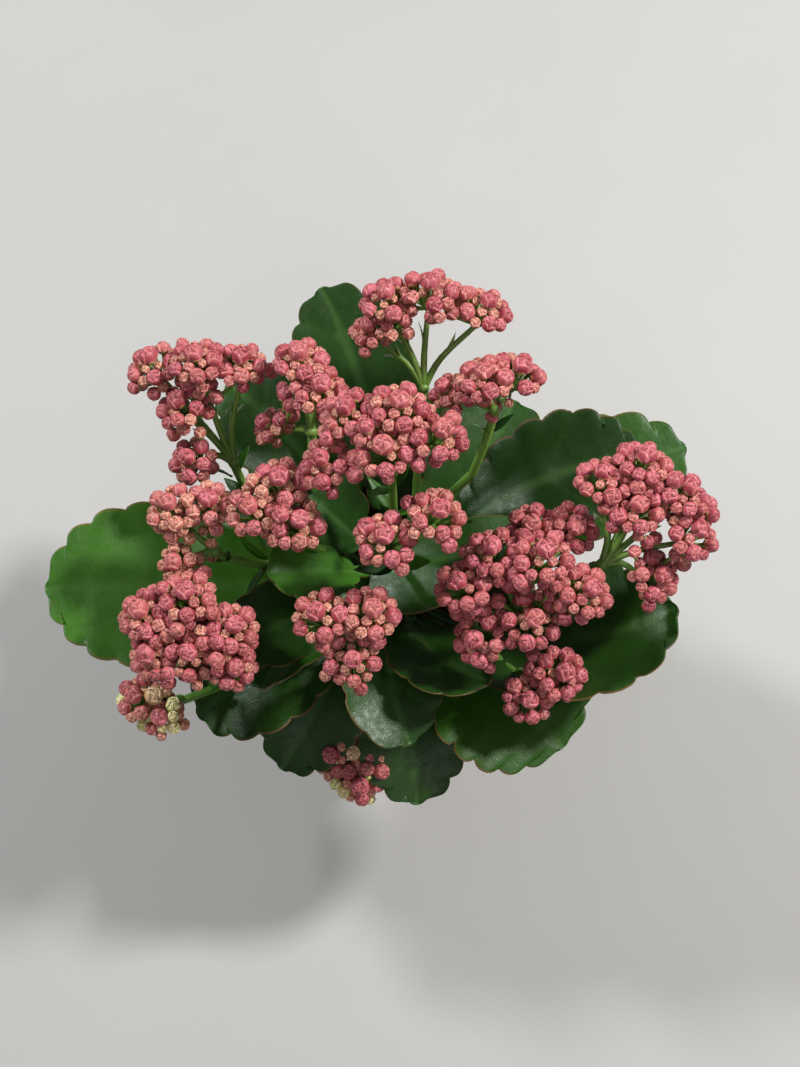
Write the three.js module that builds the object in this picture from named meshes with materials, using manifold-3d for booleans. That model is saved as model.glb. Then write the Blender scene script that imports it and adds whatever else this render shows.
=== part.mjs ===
// A potted double-flowered kalanchoe in bud: a plastic grower's pot, peat, one branched stem, fleshy
// scalloped leaves, and flower heads that stand on stalks above the leaves.
//
// Millimetres, +Z up, origin at the centre of the pot's flat base. -Y is the plant's front.
// The plant is laid out from the middle of the soil's surface, so it follows the pot when the pot changes.
import * as THREE from "three";
import { mergeVertices } from "three/addons/utils/BufferGeometryUtils.js";
import Module from "manifold-3d";

const wasm = await Module();
wasm.setup();
const { Manifold, Mesh: SolidMesh } = wasm;
const V = (x, y, z) => new THREE.Vector3(x, y, z);
const UP = V(0, 0, 1);
const DEGREE = Math.PI / 180;
const GOLDEN_ANGLE = 137.5 * DEGREE;

// ---- Driving dimensions ----
const CLEARANCE = 0.3; // between any two pieces that touch

const POT_HEIGHT = 105;
const POT_RIM_DIAMETER = 120;
const POT_BASE_DIAMETER = 84;
const POT_WALL = 1.8;
const POT_RIM_HEIGHT = 14;
const POT_RIM_STEP = 2.4; // how far the rim band stands out from the wall
const DRAIN_DIAMETER = 9;
const DRAIN_CIRCLE_DIAMETER = 56;
const DRAIN_COUNT = 5;
const POT_SIDES = 30;

const SOIL_BELOW_RIM = 10;
const SOIL_CROWN = 2; // how much the soil's middle stands above its edge

const PLANT_SCALE = 1; // spreads or shrinks the whole plant's layout
const STEM_DIAMETER = 10;
const STEM_DEPTH_IN_SOIL = 24;
const STEM_HEIGHT = 38; // above the soil
const LIMB_DIAMETER = 6.4;
const STALK_DIAMETER = 4;
const CYME_BRANCH_DIAMETER = 3.2;
const HUB_DIAMETER = 3.6;
const HUB_DROP = 1.5; // how far a cyme's hub lies under its crown, over the cyme's radius
const KNUCKLE_SWELL = 1.25; // a joint's diameter over its stalk's
const BUD_DIAMETER = 7.8; // the largest bud of a cyme
const LEAF_THICKNESS = 2.2;
const PETIOLE_WIDTH = 5.2;
const PETIOLE_THICKNESS = 3.4;
const PETIOLE_SHARE = 0.26; // of the leaf's whole length
const SCALLOP_DEPTH = 0.1; // of the blade's half width

const soilTop = POT_HEIGHT - SOIL_BELOW_RIM;

// A point of the plant's layout, measured from the middle of the soil's surface.
const at = (x, y, height) => V(x, y, height).multiplyScalar(PLANT_SCALE).add(V(0, 0, soilTop));

// ---- The layout ----
// The stem's limbs: each leaves the stem at a height and carries the stalks that name it.
const LIMBS = {
  middle: { from: 30, tip: [0, 3, 50] },
  back: { from: 18, tip: [8, 22, 46] },
  left: { from: 12, tip: [-22, 8, 42] },
  front_left: { from: 8, tip: [-20, -14, 34] },
  right: { from: 10, tip: [22, -6, 40] },
  front: { from: 4, tip: [-3, -20, 20] },
};

// One flower head each: the limb that its stalk leaves, how the stalk bows, the fork where the stalk ends,
// and its cymes as [x, y, height of the cyme's crown, radius].
const HEADS = [
  { name: "back_left_outer", limb: "left", bow: [-8, -4, -10], fork: [-64, 35, 72],
    cymes: [[-94, 65, 109, 11.5], [-75, 62, 117, 11.5], [-57, 62, 115, 10.5], [-83, 49, 104, 10.5],
      [-81, 30, 90, 9.5]] },
  { name: "back_left_inner", limb: "left", bow: [-4, 2, -4], fork: [-31, 36, 98],
    cymes: [[-35, 58, 126, 11], [-26, 44, 127, 11], [-52, 42, 98, 8.5]] },
  { name: "centre", limb: "middle", bow: [0, 2, 0], fork: [-1, 16, 106],
    cymes: [[-18, 31, 136, 11], [2, 31, 141, 11.5], [-4, 15, 137, 11.5], [18, 21, 138, 11.5],
      [-28, 14, 127, 10.5]] },
  { name: "front_centre", limb: "middle", bow: [0, -3, 0], fork: [1, -13, 92],
    cymes: [[-4, -11, 119, 11.5], [17, -3, 124, 11]] },
  { name: "left_inner", limb: "left", bow: [0, -4, 4], fork: [-42, 0, 90],
    cymes: [[-41, 12, 118, 11], [-53, 2, 114, 11], [-33, -4, 114, 10.5]] },
  { name: "left_outer", limb: "left", bow: [-6, -6, 0], fork: [-70, -4, 76],
    cymes: [[-84, 8, 103, 11], [-68, 9, 104, 10], [-83, -13, 91, 8.5]] },
  { name: "front_left", limb: "front_left", bow: [-6, -4, -6], fork: [-73, -37, 66],
    cymes: [[-95, -30, 91, 11], [-92, -46, 85, 11], [-76, -24, 97, 11.5], [-75, -46, 88, 12],
      [-57, -36, 91, 10.5], [-57, -51, 83, 9.5]] },
  { name: "low_left", limb: "front_left", bow: [-4, -4, -10], fork: [-86, -55, 42],
    cymes: [[-101, -55, 60, 10], [-90, -64, 57, 9]] },
  { name: "front", limb: "front", bow: [-3, -6, 2], fork: [-17, -38, 74],
    cymes: [[-29, -33, 99, 11.5], [-7, -32, 100, 11.5], [-15, -50, 90, 11.5]] },
  { name: "front_right", limb: "right", bow: [4, -6, -4], fork: [47, -29, 78],
    cymes: [[21, -22, 101, 11.5], [34, -10, 107, 11.5], [54, -13, 111, 12], [72, -26, 104, 11.5],
      [27, -42, 87, 11],
      [51, -36, 97, 12]] },
  { name: "low_right", limb: "right", bow: [4, -8, -8], fork: [50, -46, 46],
    cymes: [[65, -49, 71, 11], [51, -59, 65, 10.5]] },
  { name: "right_inner", limb: "right", bow: [4, 2, 0], fork: [58, 3, 72],
    cymes: [[50, 1, 96, 10], [68, 0, 97, 10.5]] },
  { name: "right_outer", limb: "right", bow: [8, 0, -4], fork: [80, -10, 78],
    cymes: [[76, 17, 111, 11.5], [92, 23, 113, 11.5], [89, 5, 109, 11], [109, 12, 108, 11],
      [113, -3, 103, 11.5],
      [101, -18, 91, 10.5]] },
  { name: "back", limb: "back", bow: [0, 0, -2], fork: [11, 58, 92],
    cymes: [[-4, 81, 129, 11.5], [13, 84, 131, 11.5], [36, 80, 124, 11.5], [-11, 73, 118, 8.5]] },
  { name: "back_right", limb: "back", bow: [6, -4, -6], fork: [38, 44, 102],
    cymes: [[32, 53, 120, 10.5], [48, 57, 117, 11], [16, 52, 108, 8.5]] },
  { name: "low_front", limb: "front", bow: [0, -6, 6], fork: [-16, -68, 14],
    cymes: [[-27, -72, 25, 11], [-14, -86, 22, 10.5], [-4, -79, 22, 9.5]] },
];

// Leaves: height on the stem, tip [x, y, height], blade width, arch and sweep (how far the middle stands
// above and to the right of the chord, in mm), roll about the midrib, cup (how far the margins rise, over
// the half width), and the scallops on a side.
const LEAVES = [
  { name: "back_left_top", from: 28, tip: [-30, 106, 84],
    width: 48, arch: 6, sweep: 6, roll: 0, cup: 0.12, lobes: 4 },
  { name: "back_left", from: 20, tip: [-70, 78, 54],
    width: 48, arch: 8, sweep: 4, roll: 8, cup: 0.1, lobes: 4 },
  { name: "back", from: 9, tip: [10, 84, 34],
    width: 50, arch: 12, sweep: 0, roll: 0, cup: 0.1, lobes: 4 },
  { name: "back_right", from: 21, tip: [50, 72, 50],
    width: 50, arch: 10, sweep: 4, roll: 4, cup: 0.12, lobes: 4 },
  { name: "right_back_top", from: 26, tip: [98, 40, 66],
    width: 52, arch: 8, sweep: -8, roll: -6, cup: 0.1, lobes: 5 },
  { name: "right_back", from: 16, tip: [120, 50, 52],
    width: 50, arch: 8, sweep: -4, roll: 0, cup: 0.1, lobes: 4 },
  { name: "left", from: 16, tip: [-138, -12, 54],
    width: 70, arch: 5, sweep: 0, roll: -4, cup: 0.08, lobes: 5 },
  { name: "left_back", from: 7, tip: [-98, 24, 18],
    width: 46, arch: 12, sweep: 0, roll: 0, cup: 0.08, lobes: 4 },
  { name: "left_low", from: 11, tip: [-80, -56, 22],
    width: 54, arch: 14, sweep: 0, roll: 6, cup: 0.05, lobes: 4 },
  { name: "front_left_low", from: 6, tip: [-46, -76, 12],
    width: 44, arch: 16, sweep: 0, roll: 0, cup: 0.05, lobes: 4 },
  { name: "front_left_top", from: 23, tip: [-50, -54, 60],
    width: 36, arch: 2, sweep: 8, roll: 26, cup: 0.15, lobes: 3 },
  { name: "front_top", from: 27, tip: [6, -72, 44],
    width: 40, arch: 12, sweep: 6, roll: -16, cup: 0.1, lobes: 3 },
  { name: "front_right_top", from: 22, tip: [36, -52, 64],
    width: 44, arch: 0, sweep: 8, roll: -14, cup: 0.25, lobes: 3 },
  { name: "right_front", from: 10, tip: [108, -24, 68],
    width: 66, arch: -3, sweep: 16, roll: -14, cup: 0.14, lobes: 5 },
  { name: "right_front_low", from: 4, tip: [67, -70, 28],
    width: 70, arch: 12, sweep: 0, roll: 0, cup: 0.06, lobes: 5 },
  { name: "front_low", from: 2, tip: [9, -90, 12],
    width: 46, arch: 16, sweep: 0, roll: 0, cup: 0.05, lobes: 4 },
  { name: "left_middle", from: 29, tip: [-64, -40, 62],
    width: 34, arch: 8, sweep: 0, roll: 0, cup: 0.2, lobes: 3 },
  { name: "left_small", from: 35, tip: [-48, -14, 78],
    width: 28, arch: 6, sweep: 0, roll: 10, cup: 0.2, lobes: 3 },
  { name: "back_left_small", from: 33, tip: [-42, 26, 74],
    width: 34, arch: 6, sweep: 0, roll: 0, cup: 0.2, lobes: 3 },
  { name: "right_small", from: 32, tip: [58, 12, 60],
    width: 40, arch: 8, sweep: 0, roll: 0, cup: 0.15, lobes: 3 },
];

// ---- Solids ----
// A closed three.js geometry as a solid that can be joined and cut.
function solidOf(geometry) {
  const bare = new THREE.BufferGeometry().setAttribute("position", geometry.getAttribute("position"));
  if (geometry.index) bare.setIndex(geometry.index);
  const merged = mergeVertices(bare, 1e-4);
  return new Manifold(new SolidMesh({
    numProp: 3,
    vertProperties: new Float32Array(merged.attributes.position.array),
    triVerts: new Uint32Array(merged.index.array),
  }));
}

// Solids live outside JavaScript's memory, so one that has been used up is freed.
function usedUp(solid, result) {
  solid.delete();
  return result;
}

const joined = (solids) => solids.reduce((all, one) => usedUp(one, usedUp(all, all.add(one))));
const cutBy = (solid, tool) => usedUp(solid, solid.subtract(tool));

// The solid's largest body: a cut can leave a loose sliver, which is dropped.
function largestBody(solid) {
  return solid.decompose().reduce((best, body) => (body.volume() > best.volume() ? body : best));
}

function geometryOf(solid) {
  const { vertProperties, triVerts } = solid.getMesh();
  const geometry = new THREE.BufferGeometry();
  geometry.setAttribute("position", new THREE.BufferAttribute(vertProperties, 3));
  geometry.setIndex(new THREE.BufferAttribute(triVerts, 1));
  geometry.computeVertexNormals();
  return geometry;
}

function ball(centre, radius, detail = 0) {
  return solidOf(new THREE.IcosahedronGeometry(radius, detail).translate(centre.x, centre.y, centre.z));
}

// A round rod along a smooth curve through the points.
function rod(points, radius, sides, steps) {
  const section = new THREE.Shape();
  for (let i = 0; i < sides; i++) {
    const angle = (i / sides) * 2 * Math.PI;
    section[i ? "lineTo" : "moveTo"](radius * Math.cos(angle), radius * Math.sin(angle));
  }
  section.closePath();
  const path = points.length === 2 ? new THREE.LineCurve3(...points) : new THREE.CatmullRomCurve3(points);
  return solidOf(new THREE.ExtrudeGeometry(section, { steps, extrudePath: path, bevelEnabled: false }));
}

// A solid of revolution about +Z from a closed [radius, height] outline.
function turned(outline, sides) {
  const points = [...outline, outline[0]].map(([r, z]) => new THREE.Vector2(r, z));
  return solidOf(new THREE.LatheGeometry(points, sides).rotateX(Math.PI / 2));
}

// ---- Pot and soil ----
const rimRadius = POT_RIM_DIAMETER / 2;
const baseRadius = POT_BASE_DIAMETER / 2;
const rimUnderside = POT_HEIGHT - POT_RIM_HEIGHT;
const wallRadiusAt = (z) =>
  baseRadius + (rimRadius - POT_RIM_STEP - baseRadius) * Math.min(1, z / rimUnderside);

function pot() {
  const shell = turned([
    [0, 0], [baseRadius, 0], [wallRadiusAt(rimUnderside), rimUnderside], [rimRadius, rimUnderside],
    [rimRadius, POT_HEIGHT], [rimRadius - POT_WALL, POT_HEIGHT],
    [rimRadius - POT_WALL, rimUnderside + POT_WALL], [wallRadiusAt(rimUnderside) - POT_WALL, rimUnderside],
    [wallRadiusAt(POT_WALL) - POT_WALL, POT_WALL], [0, POT_WALL],
  ], POT_SIDES);
  const drains = Array.from({ length: DRAIN_COUNT }, (_, i) => {
    const angle = ((i + 0.5) / DRAIN_COUNT) * 2 * Math.PI;
    const hole = new THREE.CylinderGeometry(DRAIN_DIAMETER / 2, DRAIN_DIAMETER / 2, 4 * POT_WALL, 10);
    const reach = DRAIN_CIRCLE_DIAMETER / 2;
    hole.rotateX(Math.PI / 2).translate(reach * Math.cos(angle), reach * Math.sin(angle), 0);
    return solidOf(hole);
  });
  return cutBy(shell, joined(drains));
}

function soil() {
  const floor = POT_WALL + CLEARANCE;
  const shoulder = rimUnderside + POT_WALL;
  const inside = (z) => wallRadiusAt(z) - POT_WALL - CLEARANCE;
  return turned([
    [0, floor], [inside(floor), floor], [inside(rimUnderside) - CLEARANCE, rimUnderside],
    [inside(rimUnderside) - CLEARANCE, Math.max(shoulder, soilTop - SOIL_CROWN) - CLEARANCE],
    [0.6 * rimRadius, soilTop - SOIL_CROWN / 3], [0, soilTop],
  ], POT_SIDES);
}

// ---- Stem, stalks and heads. extra grows a piece all round, to cut its neighbours clear of it ----
const limbTip = (name) => at(...LIMBS[name].tip);

function stem(extra) {
  const radius = STEM_DIAMETER / 2 + extra;
  const trunk = rod([at(0, 0, -STEM_DEPTH_IN_SOIL), at(0, 0, STEM_HEIGHT)], radius, 7, 1);
  const limbs = Object.entries(LIMBS).map(([name, { from }]) => {
    const start = at(0, 0, from);
    const tip = limbTip(name);
    const elbow = start.clone().lerp(tip, 0.5).add(V(0, 0, -0.12 * start.distanceTo(tip)));
    return rod([start, elbow, tip], LIMB_DIAMETER / 2 + extra, 5, 2);
  });
  return joined([trunk, ...limbs]);
}

function stalk({ limb, bow, fork }, extra) {
  const start = limbTip(limb);
  const end = at(...fork);
  const middle = start.clone().lerp(end, 0.5).add(V(...bow));
  return rod([start, middle, end], STALK_DIAMETER / 2 + extra, 5, 4);
}

// The twelve corners and twenty faces of an icosahedron of radius 1.
const BALL = (() => {
  const corners = mergeVertices(new THREE.BufferGeometry()
    .setAttribute("position", new THREE.IcosahedronGeometry(1, 0).getAttribute("position")), 1e-4);
  const places = corners.attributes.position;
  const points = Array.from({ length: 12 }, (_, i) => V().fromBufferAttribute(places, i));
  const faces = Array.from({ length: 20 }, (_, i) => [0, 1, 2].map((k) => corners.index.getX(3 * i + k)));
  const opposite = points.map((point) => points.findIndex((other) => other.dot(point) < -0.99));
  const facing = faces.map((face) => face.reduce((sum, i) => sum.add(points[i]), V()).normalize());
  return { points, faces, opposite, facing };
})();

// Balls joined by three-sided necks, as one closed surface. The neck between two balls leaves the first by
// the free face that looks most nearly at the second, and enters the second by the face opposite to it.
class BallTree {
  vertices = [];
  triangles = [];

  addBall(centre, radius) {
    const first = this.vertices.length / 3;
    for (const point of BALL.points) this.vertices.push(...point.clone().multiplyScalar(radius).add(centre));
    return { first, centre, free: new Set(BALL.faces.keys()) };
  }

  addNeck(from, to) {
    const direction = to.centre.clone().sub(from.centre);
    const towards = (face) => BALL.facing[face].dot(direction);
    const exit = [...from.free].reduce((best, face) => (towards(face) > towards(best) ? face : best));
    const corners = BALL.faces[exit];
    const entry = [...to.free].find((face) => BALL.facing[face].dot(BALL.facing[exit]) < -0.99);
    from.free.delete(exit);
    to.free.delete(entry);
    for (let k = 0; k < 3; k++) {
      const [p, q, r] = [0, 1, 2].map((step) => corners[(k + step) % 3]);
      this.triangles.push(from.first + p, from.first + q, to.first + BALL.opposite[r]);
      this.triangles.push(from.first + q, to.first + BALL.opposite[p], to.first + BALL.opposite[r]);
    }
  }

  close(ball) {
    for (const face of ball.free) {
      this.triangles.push(...BALL.faces[face].map((corner) => ball.first + corner));
    }
  }

  solid() {
    const geometry = new THREE.BufferGeometry();
    geometry.setAttribute("position", new THREE.Float32BufferAttribute(this.vertices, 3));
    geometry.setIndex(this.triangles);
    return solidOf(geometry);
  }
}

// A cyme: one bud in the middle and a ring round it, on a dome that faces away from the fork.
function cyme([x, y, height, radius], fork, index, extra) {
  const crown = at(x, y, height);
  const axis = crown.clone().sub(fork).normalize().add(UP).normalize();
  const domeRadius = radius * PLANT_SCALE;
  const largest = Math.min(BUD_DIAMETER / 2, 0.4 * domeRadius);
  const tree = new BallTree();
  const root = tree.addBall(fork, CYME_BRANCH_DIAMETER / 2 + extra);
  const hubPlace = crown.clone().addScaledVector(axis, -HUB_DROP * domeRadius);
  const hub = tree.addBall(hubPlace, HUB_DIAMETER / 2 + extra);
  tree.addNeck(root, hub);
  const across = V(axis.z, 0, -axis.x).normalize();
  const ringRadius = domeRadius - 0.85 * largest;
  const ringCount = domeRadius > 9 * PLANT_SCALE ? 5 : 4;
  const buds = [tree.addBall(crown.clone().addScaledVector(axis, -largest), largest + extra)];
  for (let i = 0; i < ringCount; i++) {
    const turn = (i / ringCount) * 2 * Math.PI + index * GOLDEN_ANGLE;
    const size = largest * (0.94 - 0.2 * ((i * 0.618 + index * 0.37) % 1));
    const centre = across.clone().applyAxisAngle(axis, turn).multiplyScalar(ringRadius)
      .addScaledVector(axis, -0.42 * domeRadius - size).add(crown);
    buds.push(tree.addBall(centre, size + extra));
  }
  for (const one of buds) tree.addNeck(hub, one);
  for (const one of [root, hub, ...buds]) tree.close(one);
  return tree.solid();
}

function head({ fork, cymes }, extra) {
  const root = at(...fork);
  const knuckle = ball(root, (STALK_DIAMETER / 2) * KNUCKLE_SWELL + extra);
  return joined([knuckle, ...cymes.map((one, index) => cyme(one, root, index, extra))]);
}

// ---- Leaves ----
// A leaf is a grid of rows from its foot to its tip. Each row is a lens: an upper and a lower line of points
// that meet at the margins.
function leaf({ from, tip, width, arch, sweep, roll, cup, lobes }, extra) {
  const end = at(...tip);
  const outward = V(end.x, end.y, 0).normalize();
  const right = V(outward.y, -outward.x, 0);
  const foot = at(0, 0, from).addScaledVector(outward, STEM_DIAMETER / 2 + 2 * CLEARANCE - extra);
  const bend = foot.clone().lerp(end, 0.5).addScaledVector(right, 2 * sweep * PLANT_SCALE)
    .add(V(0, 0, 2 * arch * PLANT_SCALE));
  const midrib = new THREE.QuadraticBezierCurve3(foot, bend, end);
  const petioleHalf = PETIOLE_WIDTH / 2;
  const halfWidth = (width / 2) * PLANT_SCALE;
  const rows = [0, 0.75].map((share) => ({
    middle: share * PETIOLE_SHARE,
    margin: share * PETIOLE_SHARE,
    half: petioleHalf,
    thickness: PETIOLE_THICKNESS,
  }));
  // Scallops are counted from the tip, which stands in the middle of one. A notch has a row of its own, and
  // so have the thirds of the scallop between two notches.
  const foremost = 0.22;
  const counts = Array.from({ length: 3 * lobes - 2 }, (_, i) => lobes - 0.5 - i / 3);
  for (const count of [...counts, foremost]) {
    const angle = Math.PI * (1 - count / (lobes - 1 / 6));
    const scallop = 1 - SCALLOP_DEPTH * (1 - Math.abs(Math.cos(Math.PI * count)) ** 0.7);
    const share = 0.5 - 0.5 * Math.cos(angle);
    const marginShare = 0.5 - 0.5 * Math.cos(angle) * scallop;
    rows.push({
      middle: PETIOLE_SHARE + (1 - PETIOLE_SHARE) * share,
      margin: PETIOLE_SHARE + (1 - PETIOLE_SHARE) * marginShare,
      half: Math.max(petioleHalf, halfWidth * Math.sin(angle) * (1 - 0.12 * Math.cos(angle)) * scallop),
      thickness: LEAF_THICKNESS,
    });
  }
  const vertices = [];
  const addPoint = (point) => vertices.push(point.x, point.y, point.z) / 3 - 1;
  const upper = [];
  const lower = [];
  for (const row of rows) {
    const tangent = midrib.getTangent(row.middle);
    const side = V(tangent.y, -tangent.x, 0).normalize().applyAxisAngle(tangent, roll * DEGREE);
    const normal = side.clone().cross(tangent).normalize();
    const pointAt = (across, lift) => midrib.getPoint(row.middle + (row.margin - row.middle) * across ** 2)
      .addScaledVector(side, across * (row.half + 2 * extra))
      .addScaledVector(normal, cup * row.half * across ** 2 + lift * (row.thickness / 2 + extra));
    const leftEdge = addPoint(pointAt(-1, 0));
    const rightEdge = addPoint(pointAt(1, 0));
    const between = (lift) => [-0.5, 0, 0.5].map((across) => (
      addPoint(pointAt(across, lift * (1 - 0.4 * Math.abs(across))))
    ));
    upper.push([leftEdge, ...between(1), rightEdge]);
    lower.push([leftEdge, ...between(-1), rightEdge].reverse());
  }
  const tipPoint = addPoint(end.clone().addScaledVector(midrib.getTangent(1), extra));
  const faces = [];
  for (const side of [upper, lower]) {
    for (let column = 0; column + 1 < side[0].length; column++) {
      for (let row = 0; row + 1 < side.length; row++) {
        const [a, b] = [side[row][column], side[row][column + 1]];
        const [c, d] = [side[row + 1][column + 1], side[row + 1][column]];
        // Both sides of the thin blade are split along the same diagonal, so it never cuts through itself.
        faces.push(...(side === upper ? [a, b, c, a, c, d] : [a, b, d, b, c, d]));
      }
      faces.push(side.at(-1)[column], side.at(-1)[column + 1], tipPoint);
    }
  }
  const footRing = [...upper[0], ...lower[0].slice(1, -1)];
  for (let i = 1; i + 1 < footRing.length; i++) faces.push(footRing[0], footRing[i + 1], footRing[i]);
  const geometry = new THREE.BufferGeometry();
  geometry.setAttribute("position", new THREE.Float32BufferAttribute(vertices, 3));
  geometry.setIndex(faces);
  return solidOf(geometry);
}

// ---- Materials ----
const paint = (color, roughness) => new THREE.MeshStandardMaterial({ color, roughness, metalness: 0 });
const TERRACOTTA = paint(0xa0583a, 0.6);
const PEAT = paint(0x2b1d14, 0.95);
const STEM_GREEN = paint(0x5b7a35, 0.5);
const LEAF_GREEN = paint(0x2a5a26, 0.35);
const BUD_PINK = paint(0xb5505e, 0.5);

// ---- Assembly: each piece is cut clear of the pieces placed before it ----
const plant = new THREE.Group();
const placed = [];

const boxesMeet = (a, b) => [0, 1, 2].every((i) => a.min[i] <= b.max[i] && b.min[i] <= a.max[i]);

function place(name, material, make) {
  let solid = make(0);
  for (const other of placed) {
    if (boxesMeet(solid.boundingBox(), other.boundingBox())) solid = cutBy(solid, other);
  }
  const mesh = new THREE.Mesh(geometryOf(largestBody(solid)), material);
  mesh.name = name;
  plant.add(mesh);
  // Made anew from its mesh, the placed solid doesn't carry its past cuts along, so later cuts stay quick.
  placed.push(make(CLEARANCE), solidOf(mesh.geometry));
}

for (const one of HEADS) place(`head_${one.name}`, BUD_PINK, (extra) => head(one, extra));
for (const one of HEADS) place(`stalk_${one.name}`, STEM_GREEN, (extra) => stalk(one, extra));
place("stem", STEM_GREEN, stem);
for (const one of LEAVES) place(`leaf_${one.name}`, LEAF_GREEN, (extra) => leaf(one, extra));
place("pot", TERRACOTTA, pot);
place("soil", PEAT, soil);

export default plant;
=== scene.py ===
"""Looks of a potted kalanchoe in bud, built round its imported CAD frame.

Metres, +Z up, the plant's front towards -Y. The frame gives the places: each bud ball, cyme hub and leaf grid
of the CAD solids is found again in its mesh, and the detailed buds, branches and leaves are grown on those.
Lengths written here are in millimetres times MM.
"""

import math
import random

import bmesh
import bpy
import numpy as np
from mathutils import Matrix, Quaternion, Vector, noise


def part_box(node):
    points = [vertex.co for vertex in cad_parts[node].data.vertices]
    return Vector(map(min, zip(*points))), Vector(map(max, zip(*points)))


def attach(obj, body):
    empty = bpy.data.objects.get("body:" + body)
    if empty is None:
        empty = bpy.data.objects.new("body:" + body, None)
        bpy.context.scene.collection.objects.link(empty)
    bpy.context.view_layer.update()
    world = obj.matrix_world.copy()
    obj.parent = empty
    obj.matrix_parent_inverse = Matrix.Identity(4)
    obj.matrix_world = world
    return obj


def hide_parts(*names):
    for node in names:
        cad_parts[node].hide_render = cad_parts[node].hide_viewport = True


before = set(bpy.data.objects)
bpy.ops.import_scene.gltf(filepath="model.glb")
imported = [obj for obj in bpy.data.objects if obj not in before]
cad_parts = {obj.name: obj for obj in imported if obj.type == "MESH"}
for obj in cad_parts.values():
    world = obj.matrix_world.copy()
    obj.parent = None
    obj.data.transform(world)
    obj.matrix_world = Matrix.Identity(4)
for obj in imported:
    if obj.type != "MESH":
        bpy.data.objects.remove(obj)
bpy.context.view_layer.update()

MM = 0.001
UP = Vector((0, 0, 1))
SEED = 7
PLAIN = (0, 0, 0, 1)  # paint of surfaces whose material doesn't read any

CAMERA_TARGET = Vector((2 * MM, 0, 180 * MM))
CAMERA_ELEVATION = math.radians(70)
CAMERA_DISTANCE = 0.48
LIGHT_TARGET = (0, 0, 0.12)
LIGHTS = (  # name, place, diameter, watts, colour
    ("key_right", (0.84, 0.36, 1.10), 0.16, 21, (1, 0.985, 0.96)),
    ("key_left", (-0.88, 0.62, 1.15), 0.20, 16.5, (0.98, 0.99, 1)),
    ("fill_front", (0.1, -1.1, 1.3), 1.2, 4, (1, 1, 1)))
FLOOR_REACH = 6.0

# Sizes that the CAD gives its balls, by which they are told apart.
ICOSAHEDRON_EDGE = 1.05146  # edge over radius
HUB_RADIUS = 1.8 * MM

# The CAD's leaf: corners in a row of its grid, how the rows are counted, and its other proportions.
ROW_CORNERS = 8
FOREMOST_COUNT = 0.22
PETIOLE_SHARE = 0.26
SCALLOP_DEPTH = 0.1
PETIOLE_HALF = 2.6 * MM
PETIOLE_FLARE = 1.6 * MM  # how softly the petiole widens into the blade
MIDRIB_HALF = 0.9 * MM
PETIOLE_THICK = 3.4 * MM
BLADE_THICK = 2.1 * MM
LEAF_ROWS = 110  # of the visible blade
LEAF_COLUMNS = 20
# Painted light and shade of the leaves' tops: leaves lighter or darker than the rest, from 0 for shaded dark
# to 1 for lit bright.
DEFAULT_LEAF_PAINTED_LIGHT = 0.3
LEAF_PAINTED_LIGHT_SHADE = {"leaf_left": 0.85, "leaf_left_small": 0.8, "leaf_front_left_top": 0.45,
                 "leaf_right_front_low": 0.55, "leaf_back_left_top": 0.25, "leaf_right_back": 0.5,
                 "leaf_right_back_top": 0.2}
CURLED_LEAVES = {"leaf_right_front": 0.06}  # extra rise of the right margin, over the half width

# How much riper or younger a head's buds are than the rest, and which share of them is still cream.
RIPER_HEADS = {"head_left_outer": -0.4, "head_left_inner": -0.3, "head_back_left_outer": -0.05,
               "head_low_left": -0.3, "head_low_front": -0.2, "head_front": -0.1,
               "head_right_outer": 0.25, "head_front_right": 0.25, "head_right_inner": 0.3,
               "head_low_right": 0.2}
CREAM_SHARES = {"head_low_left": 0.45, "head_low_front": 0.15}

# Buds between two cymes: millimetres aside and below their middles, and the radius.
BETWEEN_REACH = 27 * MM  # between the hubs of cymes that have such buds
BETWEEN_BUDS = ((0, 0.5, 3.1), (5.6, 2.0, 2.8), (-5.6, 2.0, 2.8))
MORE_BETWEEN_BUDS = {"head_back": ((2.6, 5.2, 2.7), (-2.6, 5.4, 2.6), (8.6, 5.6, 2.6), (-8.6, 5.6, 2.5))}
SMALL_BUD = 2.6 * MM  # a lesser radius gets the simpler bud shapes
LARGE_PETALS = (4, 5, 5, 4, 5, 6, 5, 4)
SMALL_PETALS = (4, 4, 5, 4)
SETTLE_ROUNDS = 60
SETTLE_ROOM = 0.95  # of two buds' radii together
LONG_BRANCH = 22 * MM  # a longer one carries bracts
STALK_BRACTS = ((0.52, 1.25), (0.82, 0.9))  # share up the stalk, and size

# The pot's and the peat's own details.
POT_SIDES = 144
POT_WALL = 1.8 * MM
RIM_HEIGHT = 14 * MM
RIM_STEP = 2.4 * MM
SHARP_ANGLE = 0.9
DRAIN_COUNT = 5
DRAIN_CIRCLE = 28 * MM
DRAIN_RADIUS = 4.5 * MM
DRAIN_SIDES = 32
PEAT_SIDES = 220
PEAT_RINGS = 65
PEAT_BORE = 5.4 * MM  # round the stem

heads = sorted(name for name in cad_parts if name.startswith("head_"))
leaves = sorted(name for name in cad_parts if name.startswith("leaf_"))
stalks = sorted(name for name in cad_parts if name.startswith("stalk_"))


# ---- Camera, lights and floor ----
def add_object(name, data):
    obj = bpy.data.objects.new(name, data)
    bpy.context.scene.collection.objects.link(obj)
    return obj


def aim(obj, target):
    obj.rotation_euler = (Vector(target) - obj.location).to_track_quat("-Z", "Y").to_euler()


def set_camera():
    """Looks down on the plant from the front, from about half a metre."""
    data = bpy.data.cameras.new("camera")
    data.sensor_fit = "VERTICAL"
    data.sensor_height = 36
    data.lens = 43.2
    data.clip_start = 0.01
    camera = add_object("camera", data)
    back = Vector((0, -math.cos(CAMERA_ELEVATION), math.sin(CAMERA_ELEVATION)))
    camera.location = CAMERA_TARGET + CAMERA_DISTANCE * back
    aim(camera, CAMERA_TARGET)
    bpy.context.scene.camera = camera


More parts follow.
